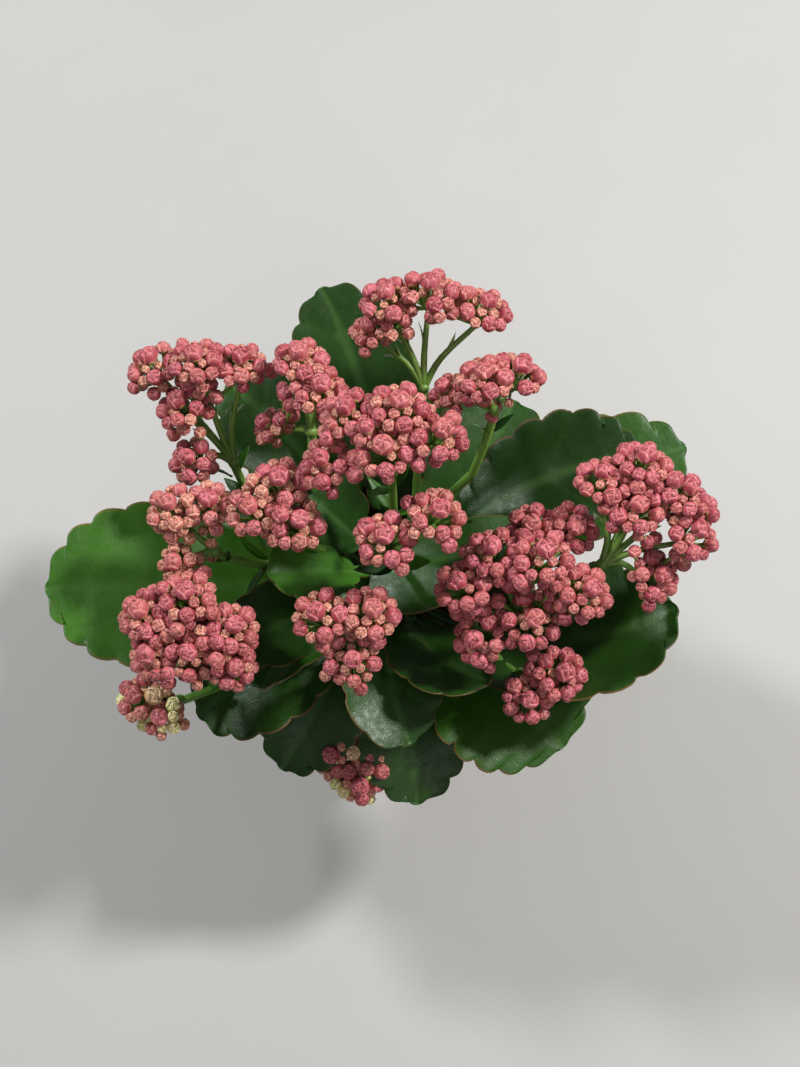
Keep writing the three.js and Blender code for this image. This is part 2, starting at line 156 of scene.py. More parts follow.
def add_light(name, location, size, power, colour):
    data = bpy.data.lights.new(name, "AREA")
    data.shape = "DISK"
    data.size = size
    data.energy = power
    data.color = colour
    light = add_object(name, data)
    light.location = location
    aim(light, LIGHT_TARGET)


def set_lights():
    for light in LIGHTS:
        add_light(*light)
    world = bpy.data.worlds.new("studio")
    bpy.context.scene.world = world
    world.use_nodes = True
    background = world.node_tree.nodes["Background"]
    background.inputs["Color"].default_value = (1, 0.99, 0.97, 1)
    background.inputs["Strength"].default_value = 0.24
    bpy.context.scene.view_settings.view_transform = "Standard"


# ---- Materials ----
class Shader:
    """A material's node tree, with short calls for the nodes that this script uses."""

    def __init__(self, name):
        self.material = bpy.data.materials.new(name)
        self.material.use_nodes = True
        self.tree = self.material.node_tree
        self.bsdf = self.tree.nodes["Principled BSDF"]

    def node(self, kind, **inputs):
        node = self.tree.nodes.new("ShaderNode" + kind)
        for key, value in inputs.items():
            self.feed(node.inputs[key.replace("_", " ")], value)
        return node

    def feed(self, socket, value):
        if isinstance(value, bpy.types.NodeSocket):
            self.tree.links.new(value, socket)
        else:
            socket.default_value = value

    def set(self, **inputs):
        for key, value in inputs.items():
            self.feed(self.bsdf.inputs[key.replace("_", " ")], value)

    def position(self):
        return self.node("NewGeometry").outputs["Position"]

    def noise(self, scale, detail=3.0, roughness=0.5, vector=None):
        node = self.node("TexNoise", Scale=scale, Detail=detail, Roughness=roughness)
        self.feed(node.inputs["Vector"], vector or self.position())
        return node.outputs["Fac"]

    def voronoi(self, scale):
        return self.node("TexVoronoi", Scale=scale, Vector=self.position()).outputs["Distance"]

    def paint(self, name):
        """The red, green, blue and alpha of a colour attribute, as four numbers."""
        node = self.node("Attribute")
        node.attribute_name = name
        parts = self.node("SeparateColor", Color=node.outputs["Color"])
        return [*parts.outputs, node.outputs["Alpha"]]

    def ramp(self, value, low, high, to_low=0.0, to_high=1.0):
        """Runs smoothly from to_low to to_high as value goes from low to high."""
        node = self.node("MapRange")
        node.interpolation_type = "SMOOTHSTEP"
        for socket, number in zip(node.inputs, (value, low, high, to_low, to_high)):
            self.feed(socket, number)
        return node.outputs[0]

    def mix(self, factor, a, b):
        node = self.node("Mix")
        node.data_type = "RGBA"
        self.feed(node.inputs["Factor"], factor)
        colours = [socket for socket in node.inputs if socket.type == "RGBA"]
        self.feed(colours[0], a)
        self.feed(colours[1], b)
        return next(socket for socket in node.outputs if socket.type == "RGBA")

    def bump(self, height, depth, normal=None):
        node = self.node("Bump", Height=height, Distance=depth, Strength=1.0)
        if normal:
            self.feed(node.inputs["Normal"], normal)
        return node.outputs["Normal"]


def rgb(red, green, blue):
    return (red, green, blue, 1)


def bud_material():
    """Rosy petals with paler edges painted as highlight on rims and crests, and painted shade in the creases;
    young buds are peach to cream; sepals and tube are green.
    """
    s = Shader("bud_petals")
    edge, whorl, chance, ripeness = s.paint("paint")
    mottle = s.noise(1300, 4, 0.6)
    patch = s.noise(170, 2)
    deep = s.mix(mottle, rgb(0.235, 0.026, 0.042), rgb(0.42, 0.066, 0.088))
    rosy = s.mix(s.ramp(patch, 0.35, 0.68), deep, rgb(0.490, 0.114, 0.148))
    warm = s.mix(s.ramp(chance, 0.4, 1.0, 0.0, 0.5), rosy, rgb(0.48, 0.135, 0.118))
    # Painted highlight: ripe petals turn paler towards their rims and the crests of the inner folds.
    ripe_with_painted_highlight = s.mix(s.ramp(edge, 0.55, 1.0, 0.0, 0.34), warm, rgb(0.70, 0.32, 0.26))
    young_base = s.mix(mottle, rgb(0.43, 0.115, 0.088), rgb(0.60, 0.26, 0.17))
    young = s.mix(s.ramp(edge, 0.45, 1.0, 0.0, 0.75), young_base, rgb(0.80, 0.52, 0.36))
    pink_petals = s.mix(s.ramp(ripeness, 0.0, 1.0), young, ripe_with_painted_highlight)
    cream = s.mix(s.ramp(edge, 0.3, 1.0), rgb(0.58, 0.58, 0.16), rgb(0.88, 0.83, 0.56))
    lit_petals = s.mix(s.ramp(ripeness, -1.0, -0.1, 1.0, 0.0), pink_petals, cream)
    # Painted shade: dark red in the creases where one petal tucks under the next and in the troughs of the
    # inner folds, where the edge paint is low.
    petals = s.mix(s.ramp(edge, 0.0, 0.34, 0.66, 0.0), lit_petals, rgb(0.12, 0.012, 0.016))
    sepal = s.mix(mottle, rgb(0.15, 0.24, 0.045), rgb(0.34, 0.38, 0.10))
    blush = s.mix(s.ramp(chance, 0.3, 0.9, 0.1, 0.7), sepal, rgb(0.42, 0.10, 0.07))
    colour = s.mix(s.ramp(whorl, 0.30, 0.42), blush, petals)
    s.set(Base_Color=colour, Roughness=s.ramp(mottle, 0.3, 0.7, 0.38, 0.58), Specular_IOR_Level=0.4)
    s.set(Subsurface_Weight=0.10, Subsurface_Scale=0.0010, Subsurface_Radius=(1.0, 0.35, 0.3))
    s.set(Normal=s.bump(s.noise(2600, 2), 0.00008, s.bump(s.noise(850, 2), 0.00016)))
    return s.material


def leaf_material():
    """Glossy green blades with sunken veins and reddish margins, duller and greyer beneath; their tops carry
    painted light and shade, lighter where lit and darker where shaded.
    """
    s = Shader("leaf_blade")
    margin, underside, vein, chance = s.paint("paint")
    cells = s.voronoi(1400)
    cloud = s.noise(55, 4)
    fine = s.noise(420, 3)
    # Painted light and shade: a shaded green and a lit green for the blade's top, mixed by the fourth paint
    # channel, which holds each leaf's painted light and shade and is random on bracts.
    dark = s.mix(cloud, rgb(0.003, 0.016, 0.002), rgb(0.009, 0.039, 0.004))
    light = s.mix(cloud, rgb(0.017, 0.076, 0.003), rgb(0.042, 0.135, 0.008))
    upper_with_painted_light = s.mix(s.ramp(chance, 0.0, 1.0), dark, light)
    veined = s.mix(s.ramp(vein, 0.15, 0.95, 0.0, 0.30), upper_with_painted_light, rgb(0.060, 0.150, 0.030))
    beneath = s.mix(fine, rgb(0.022, 0.046, 0.018), rgb(0.055, 0.090, 0.038))
    sides = s.mix(s.ramp(underside, 0.35, 0.65), veined, beneath)
    colour = s.mix(s.ramp(margin, 0.955, 0.995, 0.0, 0.6), sides, rgb(0.20, 0.075, 0.035))
    s.set(Base_Color=colour, Roughness=s.ramp(fine, 0.25, 0.75, 0.34, 0.50), Specular_IOR_Level=0.27)
    s.set(Subsurface_Weight=0.08, Subsurface_Scale=0.002, Subsurface_Radius=(0.3, 1.0, 0.15))
    skin = s.bump(cells, 0.00005)
    s.set(Normal=s.bump(s.noise(240, 3), 0.00022, skin))
    return s.material


def stem_material():
    """Green stems, yellower higher up and browner at the foot, with upright streaks and a reddish flush."""
    s = Shader("stem_skin")
    position = s.position()
    stretched = s.node("VectorMath", Vector=position)
    stretched.operation = "MULTIPLY"
    s.feed(stretched.inputs[1], (1, 1, 0.12))
    streak = s.noise(1500, 3, 0.6, stretched.outputs[0])
    cloud = s.noise(70, 3)
    height = s.node("SeparateXYZ", Vector=position).outputs["Z"]
    green = s.mix(streak, rgb(0.045, 0.13, 0.015), rgb(0.12, 0.25, 0.035))
    young = s.mix(s.ramp(height, 0.13, 0.21, 0.0, 0.55), green, rgb(0.21, 0.33, 0.06))
    woody = s.mix(s.ramp(height, 0.092, 0.125, 0.8, 0.0), young, rgb(0.13, 0.12, 0.05))
    colour = s.mix(s.ramp(cloud, 0.56, 0.72, 0.0, 0.35), woody, rgb(0.22, 0.10, 0.04))
    s.set(Base_Color=colour, Roughness=s.ramp(streak, 0.3, 0.7, 0.34, 0.5))
    s.set(Subsurface_Weight=0.12, Subsurface_Scale=0.0015, Subsurface_Radius=(0.5, 1.0, 0.2))
    s.set(Normal=s.bump(streak, 0.00008))
    return s.material


def pot_material():
    """Moulded terracotta-brown plastic with a faint grain and dust."""
    s = Shader("pot_plastic")
    grain = s.noise(1800, 2)
    dust = s.noise(38, 5, 0.65)
    base = s.mix(s.noise(12, 3), rgb(0.235, 0.075, 0.038), rgb(0.285, 0.095, 0.050))
    colour = s.mix(s.ramp(dust, 0.55, 0.8, 0.0, 0.22), base, rgb(0.42, 0.27, 0.19))
    s.set(Base_Color=colour, Roughness=s.ramp(dust, 0.35, 0.75, 0.38, 0.62))
    s.set(Normal=s.bump(grain, 0.00005))
    return s.material


def peat_material():
    """Dark fibrous peat with lighter fibres."""
    s = Shader("peat")
    lump = s.noise(260, 5, 0.7)
    fibre = s.noise(900, 3, 0.6)
    dark = s.mix(lump, rgb(0.010, 0.006, 0.004), rgb(0.055, 0.032, 0.018))
    colour = s.mix(s.ramp(fibre, 0.58, 0.75, 0.0, 0.6), dark, rgb(0.16, 0.10, 0.055))
    s.set(Base_Color=colour, Roughness=0.95, Specular_IOR_Level=0.15)
    s.set(Normal=s.bump(fibre, 0.0004, s.bump(lump, 0.0010)))
    return s.material


def perlite_material():
    s = Shader("perlite")
    colour = s.mix(s.noise(900, 3), rgb(0.52, 0.50, 0.46), rgb(0.80, 0.78, 0.74))
    s.set(Base_Color=colour, Roughness=0.9, Normal=s.bump(s.voronoi(2200), 0.0003))
    return s.material


def floor_material():
    s = Shader("pale_floor")
    cloud = s.noise(5, 4, 0.55)
    speck = s.noise(420, 3, 0.6)
    pale = s.mix(cloud, rgb(0.375, 0.373, 0.362), rgb(0.42, 0.418, 0.407))
    colour = s.mix(s.ramp(speck, 0.60, 0.75, 0.0, 0.12), pale, rgb(0.27, 0.27, 0.265))
    s.set(Base_Color=colour, Roughness=0.75, Specular_IOR_Level=0.3, Normal=s.bump(speck, 0.0001))
    return s.material


# ---- Mesh helpers ----
class Surface:
    """Points, faces and a painted colour for each point, gathered for one mesh."""

    def __init__(self):
        self.points = []
        self.faces = []
        self.colours = []
        self.count = 0

    def add(self, points, faces, colours):
        self.points.append(np.asarray(points, dtype=float))
        self.faces.extend(tuple(int(i) + self.count for i in face) for face in faces)
        self.colours.append(np.asarray(colours, dtype=float))
        self.count += len(points)

    def piece(self, name, material, slot, *nodes):
        mesh = bpy.data.meshes.new(name)
        mesh.from_pydata(np.concatenate(self.points).tolist(), [], self.faces)
        layer = mesh.color_attributes.new("paint", "FLOAT_COLOR", "POINT")
        layer.data.foreach_set("color", np.concatenate(self.colours).astype(np.float32).ravel())
        return finish_piece(name, mesh, material, slot, *nodes)


def finish_piece(name, mesh, material, slot, *nodes):
    """Makes the mesh a smooth piece of the object that stands for those CAD nodes."""
    mesh.validate()
    mesh.materials.clear()
    mesh.materials.append(material)
    mesh.polygons.foreach_set("use_smooth", [True] * len(mesh.polygons))
    piece = add_object(name, mesh)
    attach(piece, "root")
    if nodes:
        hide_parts(*nodes)
    return piece


def grid_faces(rows, columns, around):
    """Quads of a grid of points stored row by row. around joins the last column to the first."""
    faces = []
    for row in range(rows - 1):
        for column in range(columns if around else columns - 1):
            after = (column + 1) % columns
            faces.append((row * columns + column, row * columns + after,
                          (row + 1) * columns + after, (row + 1) * columns + column))
    return faces


def closed_faces(rows, columns):
    """The faces of a grid that runs round, with a cap at either end."""
    first = tuple(reversed(range(columns)))
    return grid_faces(rows, columns, True) + [first, tuple(range((rows - 1) * columns, rows * columns))]


def circle(radius, sides, x=0.0, y=0.0):
    """Points round a circle, as pairs."""
    angles = (2 * math.pi * k / sides for k in range(sides))
    return [(x + radius * math.cos(angle), y + radius * math.sin(angle)) for angle in angles]


def tube(surface, path, radii, sides, colour):
    """A closed tube with narrowed ends along the path."""
    path = [Vector(point) for point in path]
    radii = [float(radius) for radius in radii]
    start = path[0] - (path[1] - path[0]).normalized() * radii[0] * 0.5
    end = path[-1] + (path[-1] - path[-2]).normalized() * radii[-1] * 0.5
    path = [start, *path, end]
    radii = [radii[0] * 0.5, *radii, radii[-1] * 0.5]
    points = []
    side = None
    for i, centre in enumerate(path):
        along = (path[min(i + 1, len(path) - 1)] - path[max(i - 1, 0)]).normalized()
        if side is None:
            side = along.orthogonal()
        side = (side - along * side.dot(along)).normalized()
        across = along.cross(side)
        for k in range(sides):
            angle = 2 * math.pi * k / sides
            points.append(centre + radii[i] * (math.cos(angle) * side + math.sin(angle) * across))
    surface.add(points, closed_faces(len(path), sides), [colour] * len(points))


def curve_points(controls, count):
    """Points evenly spread over a Catmull-Rom curve through the controls."""
    controls = [np.array(point, dtype=float) for point in controls]
    padded = [2 * controls[0] - controls[1], *controls, 2 * controls[-1] - controls[-2]]
    points = []
    for value in np.linspace(0, len(controls) - 1, count):
        i = min(int(value), len(controls) - 2)
        t = value - i
        a, b, c, d = padded[i:i + 4]
        points.append(0.5 * (2 * b + (c - a) * t + (2 * a - 5 * b + 4 * c - d) * t ** 2
                             + (3 * b - 3 * c + d - a) * t ** 3))
    return points


def merged(node):
    """A CAD node's mesh as a bmesh, with its doubled corners merged."""
    mesh = bmesh.new()
    mesh.from_mesh(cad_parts[node].data)
    bmesh.ops.remove_doubles(mesh, verts=mesh.verts, dist=0.0005 * MM)
    mesh.verts.ensure_lookup_table()
    mesh.verts.index_update()
    return mesh


# ---- Reading the flower heads out of the frame ----
def intact_balls(mesh):
    """Centre and radius of each icosahedron that still has a corner with five even edges."""
    balls = []
    for corner in mesh.verts:
        if len(corner.link_edges) != 5:
            continue
        lengths = [edge.calc_length() for edge in corner.link_edges]
        edge = sum(lengths) / 5
        if max(lengths) - min(lengths) > 0.01 * edge:
            continue
        radius = edge / ICOSAHEDRON_EDGE
        middle = sum((e.other_vert(corner).co for e in corner.link_edges), Vector()) / 5
        centre = corner.co - (corner.co - middle).normalized() * radius
        if all((centre - other).length > 0.3 * radius for other, _ in balls):
            balls.append((centre, radius))
    return balls


def hub_groups(mesh):
    """The corners of each cyme's hub: groups joined by edges of the hub's own length."""
    length = HUB_RADIUS * ICOSAHEDRON_EDGE
    linked = {}
    for edge in mesh.edges:
        if abs(edge.calc_length() - length) < 0.004 * length:
            a, b = edge.verts
            linked.setdefault(a, set()).add(b)
            linked.setdefault(b, set()).add(a)
    groups = []
    while linked:
        group = set()
        waiting = [next(iter(linked))]
        while waiting:
            corner = waiting.pop()
            if corner in linked:
                group.add(corner)
                waiting.extend(linked.pop(corner))
        if len(group) > 8:
            groups.append(group)
    return groups


def read_head(node):
    """The head's knuckle, and its cymes: each a hub and the (centre, radius) of its buds."""
    mesh = merged(node)
    groups = hub_groups(mesh)
    cymes = []
    for group in groups:
        corners = sorted(group, key=lambda v: v.index)
        cymes.append({"hub": sum((v.co for v in corners), Vector()) / len(group), "buds": []})
    for centre, radius in intact_balls(mesh):
        own = None
        for corner in mesh.verts:
            if abs((corner.co - centre).length - radius) < 0.01 * radius:
                ends = {edge.other_vert(corner) for edge in corner.link_edges}
                own = own or next((cyme for cyme, group in zip(cymes, groups) if ends & group), None)
        if own and radius > 1.2 * HUB_RADIUS:
            own["buds"].append((centre, radius))
    mesh.free()
    stalk = [v.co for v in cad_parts[node.replace("head_", "stalk_")].data.vertices]
    top = max(corner.z for corner in stalk)
    end = [corner for corner in stalk if corner.z > top - 2 * MM]
    return sum(end, Vector()) / len(end) + 1.5 * MM * UP, cymes


# ---- Buds ----
def bud_shape(rng, petals, small):
    """One closed bud of radius 1 about the origin, its tip towards +Z: sepals, a whorl of overlapping outer
    petals and an inner whorl. Returns points, faces and colours (petal edge, whorl, 0, 0).
    """
    across = [0.0, 0.35, 0.75, 1.0] if small else [0.0, 0.22, 0.5, 0.78, 1.0]
    sepal_rows = 2 if small else 3
    outer_rows = 3 if small else 4
    inner_rows = 2 if small else 3
    twist = rng.uniform(0.25, 0.75) * rng.choice((-1, 1))
    pitch = 2 * math.pi / petals
    tips = [rng.uniform(0.42, 0.78) for _ in range(petals)]
    lifts = [rng.uniform(0.0, 0.035) for _ in range(petals)]
    overlap = rng.uniform(0.045, 0.075)
    rows = []
    for kind, count in (("base", 1), ("sepal", sepal_rows), ("outer", outer_rows), ("inner", inner_rows)):
        rows.extend((kind, i / count) for i in range(count + (kind in ("outer", "inner"))))
        if kind == "sepal":
            rows.append(("sepal", 1.0))
    points = []
    colours = []
    for kind, along in rows:
        for petal in range(petals):
            for share in across:
                middle = 1 - abs(2 * share - 1)
                sepal_edge = 2.15 - 0.45 * middle ** 0.8
                outer_edge = tips[petal] + 0.34 * (1 - middle ** 0.7)
                if kind == "base":
                    polar, radius, edge, whorl = 3.02, 1.02, 0.0, 0.0
                elif kind == "sepal":
                    polar = 2.86 + (sepal_edge - 2.86) * along
                    radius, edge, whorl = 1.03 + 0.02 * along, 0.4, 0.18
                elif kind == "outer":
                    polar = sepal_edge + (outer_edge - sepal_edge) * along
                    swell = math.sin(math.pi * min(1.0, share + 0.1)) * math.sin(math.pi * min(along, 0.85))
                    radius = 0.965 + lifts[petal] * along + overlap * share + 0.045 * swell
                    # Edge paint: near 1 at the rim for painted highlight, 0 on the tucked side for painted
                    # shade.
                    edge = 0.0 if share == 0.0 else 0.4 + 0.6 * max(along ** 5, 0.9 * share ** 8)
                    whorl = 0.62
                else:
                    polar = outer_edge + (0.14 - outer_edge) * along
                    # Fold ridges: high edge paint on the crests for painted highlight, low in the troughs for
                    # painted shade.
                    ridge = abs(math.cos((1 if small else 2) * math.pi * share))
                    radius = 0.915 + 0.05 * ridge * (1 - 0.4 * along) + 0.03 * along
                    edge = 0.05 + 0.95 * ridge ** 2 if along > 0.01 else 0.12
                    whorl = 0.88
                turned = twist * (1 - polar / math.pi) * (1.8 if kind == "inner" else 1.0)
                azimuth = (petal + share) * pitch + turned + (0.10 * pitch if share == 1.0 else 0.0)
                waist = 1 - 0.10 * max(0.0, polar - 1.9)
                flat = 0.94 if polar < 1.2 else 1.0
                level = math.sin(polar) * radius * waist
                height = math.cos(polar) * radius * flat - 0.02
                points.append((level * math.cos(azimuth), level * math.sin(azimuth), height))
                colours.append((edge, whorl, 0.0, 0.0))
    faces = closed_faces(len(rows), petals * len(across))
    offset = Vector([rng.uniform(-50, 50) for _ in range(3)])
    shaken = [Vector(p) * (1 + 0.05 * noise.noise(Vector(p) * 2.2 + offset)) for p in points]
    return np.array(shaken), faces, np.array(colours)


def place_bud(surface, shape, centre, radius, direction, rng, ripeness):
    """Adds a turned and stretched copy of the bud shape, its tip towards the direction."""
    points, faces, colours = shape
    turn = UP.rotation_difference(direction) @ Quaternion(UP, rng.uniform(0, 2 * math.pi))
    stretch = np.array([rng.uniform(0.94, 1.06), rng.uniform(0.94, 1.06), rng.uniform(0.93, 1.08)])
    placed = (points * stretch * radius) @ np.array(turn.to_matrix()).T + np.array(centre)
    painted = colours.copy()
    painted[:, 2] = rng.random()
    painted[:, 3] = ripeness
    surface.add(placed, faces, painted)


def fill_cyme(hub, buds, rng):
    """The CAD's buds and the lesser ones between and below them, as dicts."""
    middle = sum((centre for centre, _ in buds), Vector()) / len(buds)
    axis = (middle - hub).normalized()
    crown = max(buds, key=lambda bud: (bud[0] - hub).dot(axis) - 0.5 * ((bud[0] - hub).cross(axis)).length)
    side = axis.orthogonal().normalized()
    across = axis.cross(side)

    def bearing(bud):
        return math.atan2((bud[0] - hub).dot(across), (bud[0] - hub).dot(side))

    found = [{"centre": c, "radius": r * rng.uniform(0.88, 0.98), "hold": 1.0} for c, r in buds]

    def add_bud(spot, radius, hold):
        found.append({"centre": spot, "radius": radius, "hold": hold})

    ring = sorted((bud for bud in buds if bud is not crown), key=bearing)
    for i, (centre, radius) in enumerate(ring):
        following, next_radius = ring[(i + 1) % len(ring)]
        between = (centre + following) / 2
        outward = between - hub - axis * (between - hub).dot(axis)
        reach = (centre - hub - axis * (centre - hub).dot(axis)).length
        spot = between + outward.normalized() * (reach * 1.04 - outward.length) - axis * 0.3 * radius
        add_bud(spot, (radius + next_radius) / 2 * rng.uniform(0.62, 0.84), 0.3)
        spot = between.lerp(crown[0], 0.42) + axis * rng.uniform(-1.2, 0.4) * MM
        if rng.random() < 0.75:
            add_bud(spot, rng.uniform(1.6, 2.3) * MM, 0.15)
        spot = centre + outward.normalized() * 0.6 * MM - axis * rng.uniform(3.6, 5.2) * MM
        if rng.random() < 0.65:
            add_bud(spot, rng.uniform(1.9, 2.9) * MM, 0.15)
        spot = centre + outward.normalized() * rng.uniform(1.6, 2.8) * MM - axis * rng.uniform(2.2, 3.6) * MM
        if rng.random() < 0.22:
            add_bud(spot, rng.uniform(2.1, 3.0) * MM, 0.15)
    for bud in found:
        bud["hub"] = hub
        bud["axis"] = axis
    return found


def fill_between(cymes, rng, more):
    """Buds on short branches that close the gap between neighbouring cymes of a head."""
    found = []
    for i, first in enumerate(cymes):
        for second in cymes[i + 1:]:
            apart = second["hub"] - first["hub"]
            if apart.length > BETWEEN_REACH:
                continue
            middles = [sum((c for c, _ in cyme["buds"]), Vector()) / len(cyme["buds"])
                       for cyme in (first, second)]
            axis = (middles[0] - first["hub"] + middles[1] - second["hub"]).normalized()
            across = axis.cross(apart).normalized()
            for step, drop, size in BETWEEN_BUDS + more:
                if rng.random() < 0.25:
                    continue
                middle = (middles[0] + middles[1]) / 2
                spot = middle + across * step * MM - axis * (drop + rng.uniform(-1, 1)) * MM
                found.append({"centre": spot, "radius": size * rng.uniform(0.8, 1.1) * MM, "hold": 0.12,
                              "hub": rng.choice((first, second))["hub"], "axis": axis})
    return found


def settle(buds):
    """Pushes buds apart where they press into each other; the CAD's own buds hardly move."""
    places = np.array([bud["centre"] for bud in buds])
    home = places.copy()
    radii = np.array([bud["radius"] for bud in buds])
    hold = np.array([bud["hold"] for bud in buds])
    room = SETTLE_ROOM * (radii[:, None] + radii[None, :])
    for _ in range(SETTLE_ROUNDS):
        gap = places[:, None, :] - places[None, :, :]
        distance = np.linalg.norm(gap, axis=2) + np.eye(len(buds))
        press = np.clip(room - distance, 0, None)
        np.fill_diagonal(press, 0)
        share = hold[None, :] / (hold[:, None] + hold[None, :])
        push = (gap / distance[:, :, None] * (press * share)[:, :, None]).sum(axis=1)
        places += 0.5 * push + (home - places) * 0.05 * hold[:, None]
    for bud, place in zip(buds, places):
        bud["centre"] = Vector(place)


# ---- Leaves and bracts ----
def bract(surface, base, direction, up, length, width, colour):
    """A small pointed leaf with a folded middle."""
    direction = direction.normalized()
    side = direction.cross(up).normalized()
    top = side.cross(direction).normalized()
    rows = 9
    section = ((-1, 0.25), (-0.5, 0.05), (0, -0.05), (0.5, 0.05), (1, 0.25),
               (0.5, -0.3), (0, -0.45), (-0.5, -0.3))
    points = []
    for i in range(rows):
        along = i / (rows - 1)
        half = width / 2 * math.sin(math.pi * (0.12 + 0.88 * along ** 0.8)) ** 0.9 + 0.02 * width
        centre = base + direction * length * along + top * length * 0.22 * along * (1 - 0.6 * along)
        thick = 0.09 * width * (1.2 - along)
        for offset, rise in section:
            lift = rise * half * 0.8 if rise > 0 else rise * thick * 3
            points.append(centre + side * half * offset + top * lift)
    surface.add(points, closed_faces(rows, len(section)), [colour] * len(points))


def leaf_counts(lobes):
    """Scallop counts of the CAD's blade rows from the tip inwards, in steps of a third of a scallop."""
    return [FOREMOST_COUNT] + [0.5 + i / 3 for i in range(3 * lobes - 2)]


def blade_row(count, lobes, depth=SCALLOP_DEPTH):
    """Shares along the leaf of a blade row's middle and margin, and its half width over the blade's."""
    angle = math.pi * (1 - count / (lobes - 1 / 6))
    scallop = 1 - depth * (1 - abs(math.cos(math.pi * count)) ** 0.7)
    middle, margin = (PETIOLE_SHARE + (1 - PETIOLE_SHARE) * (0.5 - 0.5 * math.cos(angle) * factor)
                      for factor in (1, scallop))
    return middle, margin, math.sin(angle) * (1 - 0.12 * math.cos(angle)) * scallop


def bezier(foot, bend, tip, share):
    return foot * (1 - share) ** 2 + bend * 2 * share * (1 - share) + tip * share ** 2


def bezier_tangent(foot, bend, tip, share):
    return ((bend - foot) * (1 - share) + (tip - bend) * share).normalized()


def level_side(tangent):
    return Vector((tangent.y, -tangent.x, 0)).normalized()


def read_leaf(node):
    """The leaf's midrib, half width, roll, cup and scallop number, fitted to its CAD blade's uncut rows."""
    mesh = merged(node)
    tip = max((v for v in mesh.verts if len(v.link_edges) == ROW_CORNERS), key=lambda v: v.co.xy.length)
    near_axis = sorted(mesh.verts, key=lambda v: v.co.xy.length)[:5]
    foot_guess = sum((v.co for v in near_axis), Vector()) / len(near_axis)
    seen = {tip}
    ring = {edge.other_vert(tip) for edge in tip.link_edges}
    rows = []
    while len(ring) == ROW_CORNERS:
        points = [v.co.copy() for v in sorted(ring, key=lambda v: v.index)]
        left, right = max(((a, b) for a in points for b in points),
                          key=lambda pair: (pair[0] - pair[1]).length)
        if (right - left).dot(level_side(Vector(tip.co.xy.to_3d()))) < 0:
            left, right = right, left
        across = (right - left).normalized()
        inner = sorted(points, key=lambda p: abs((p - (left + right) / 2).dot(across)))[:2]
        rows.append((left, (inner[0] + inner[1]) / 2, right))
        seen |= ring
        ring = {edge.other_vert(v) for v in ring for edge in v.link_edges} - seen
    end = tip.co.copy()
    mesh.free()
    best = None
    for lobes in (3, 4, 5):
        counts = leaf_counts(lobes)[:len(rows)]
        shares = [blade_row(count, lobes)[0] for count in counts]
        weights = [1.0] * len(shares) + [0.5]
        targets = np.array([np.array(middle) for _, middle, _ in rows[:len(shares)]] + [np.array(foot_guess)])
        shares_all = np.array([*shares, 0.02])
        known = targets - np.outer(shares_all ** 2, np.array(end))
        matrix = np.stack([(1 - shares_all) ** 2, 2 * shares_all * (1 - shares_all)], axis=1)
        scale = np.array(weights)[:, None]
        solution = np.linalg.lstsq(matrix * scale, known * scale, rcond=None)[0]
        error = np.abs((matrix @ solution - known)[:-1]).mean()
        if best is None or error < best[0]:
            best = (error, lobes, Vector(solution[0]), Vector(solution[1]), counts)
    _, lobes, foot, bend, counts = best
    widths, rolls, cups = [], [], []
    for count, (left, _, right) in zip(counts, rows):
        middle, margin, profile = blade_row(count, lobes)
        half = (right - left).length / 2
        if half < 4.5 * MM:
            continue
        tangent = bezier_tangent(foot, bend, end, middle)
        level = level_side(tangent)
        side = (right - left).normalized()
        roll = math.atan2(level.cross(side).dot(tangent), level.dot(side))
        normal = Quaternion(tangent, roll) @ level
        normal = normal.cross(tangent).normalized()
        widths.append(half / profile)
        rolls.append(roll)
        cups.append(((left + right) / 2 - bezier(foot, bend, end, margin)).dot(normal) / half)
    return {"foot": foot, "bend": bend, "tip": end, "half": float(np.median(widths)),
            "roll": float(np.median(rolls)), "cup": float(np.median(cups)), "lobes": lobes}


def smooth_max(a, b, soft):
    return (a + b + math.sqrt((a - b) ** 2 + soft ** 2)) / 2


